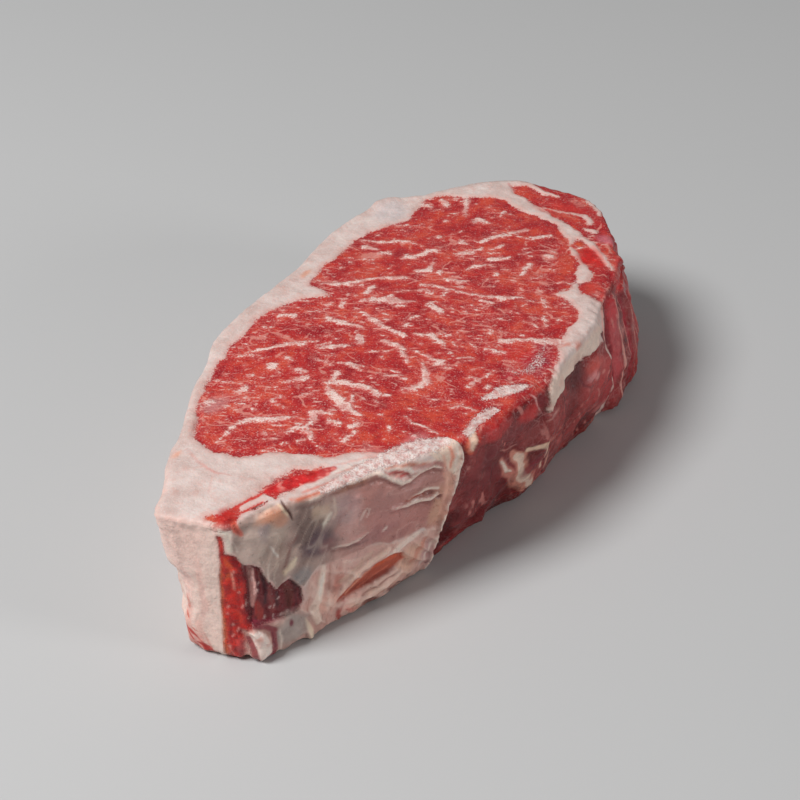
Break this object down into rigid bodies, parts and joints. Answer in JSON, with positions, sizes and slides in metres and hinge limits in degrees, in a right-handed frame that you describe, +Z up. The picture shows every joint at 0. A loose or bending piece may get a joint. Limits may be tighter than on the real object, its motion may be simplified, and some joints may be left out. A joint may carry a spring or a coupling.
{
  "type": "raw striploin steak",
  "caption": "Thick-cut raw striploin steak lying flat: a large marbled eye muscle framed by a fat cap, a narrow outer muscle at the broad end and a fat tail with a strip of lean.",
  "frame": {"origin": "middle of the footprint, on the surface that the steak lies on", "axes": "+X towards the broad end, -X towards the fat tail, +Y towards the fat cap, +Z up through the thickness of the cut"},
  "size_m": [0.2068, 0.098, 0.0466],
  "materials": {
    "lean": "moist marbled red meat",
    "fat": "waxy cream to pink fat"
  },
  "bodies": {
    "root": {"eye_muscle": "lean", "side_muscle": "lean", "tail_muscle": "lean", "fat_cap": "fat"}
  },
  "joints": []
}
